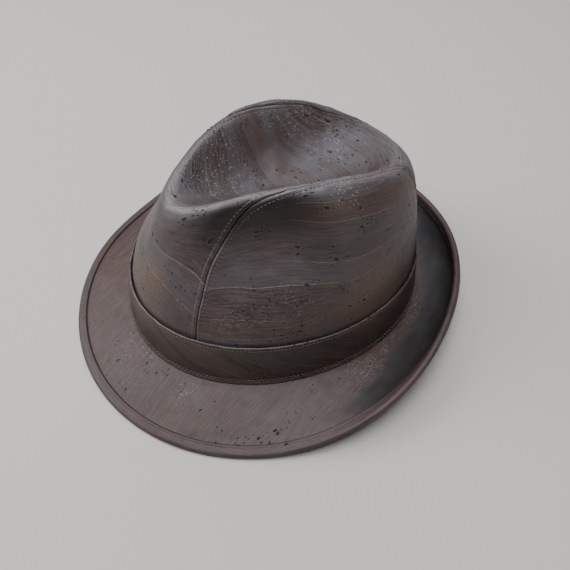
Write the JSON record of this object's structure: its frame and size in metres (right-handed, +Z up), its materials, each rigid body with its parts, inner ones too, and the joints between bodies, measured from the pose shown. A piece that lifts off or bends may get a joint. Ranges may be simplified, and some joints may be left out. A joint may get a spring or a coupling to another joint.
{
  "type": "fedora",
  "caption": "Pinch-front fedora of cork cloth: teardrop-dented crown in panels, plain band, short bound brim that dips in front and curls up behind.",
  "frame": {"origin": "on the surface that the hat lies on, under the middle of its bounding box", "axes": "-Y to the front of the hat, +X to the wearer's left, +Z up"},
  "size_m": [0.2578, 0.2735, 0.1226],
  "materials": {
    "crown_cork": "satin brown cork cloth with dark pores and fine streaks",
    "band_cork": "satin brown cork cloth, stitched along both edges",
    "brim_cork": "satin grey-brown cork cloth with fine streaks",
    "binding_cork": "satin red-brown cork cloth"
  },
  "bodies": {
    "root": {"crown_centre": "crown_cork", "crown_side_left": "crown_cork", "crown_side_right": "crown_cork", "hat_band": "band_cork", "brim": "brim_cork", "brim_binding": "binding_cork"}
  },
  "joints": []
}
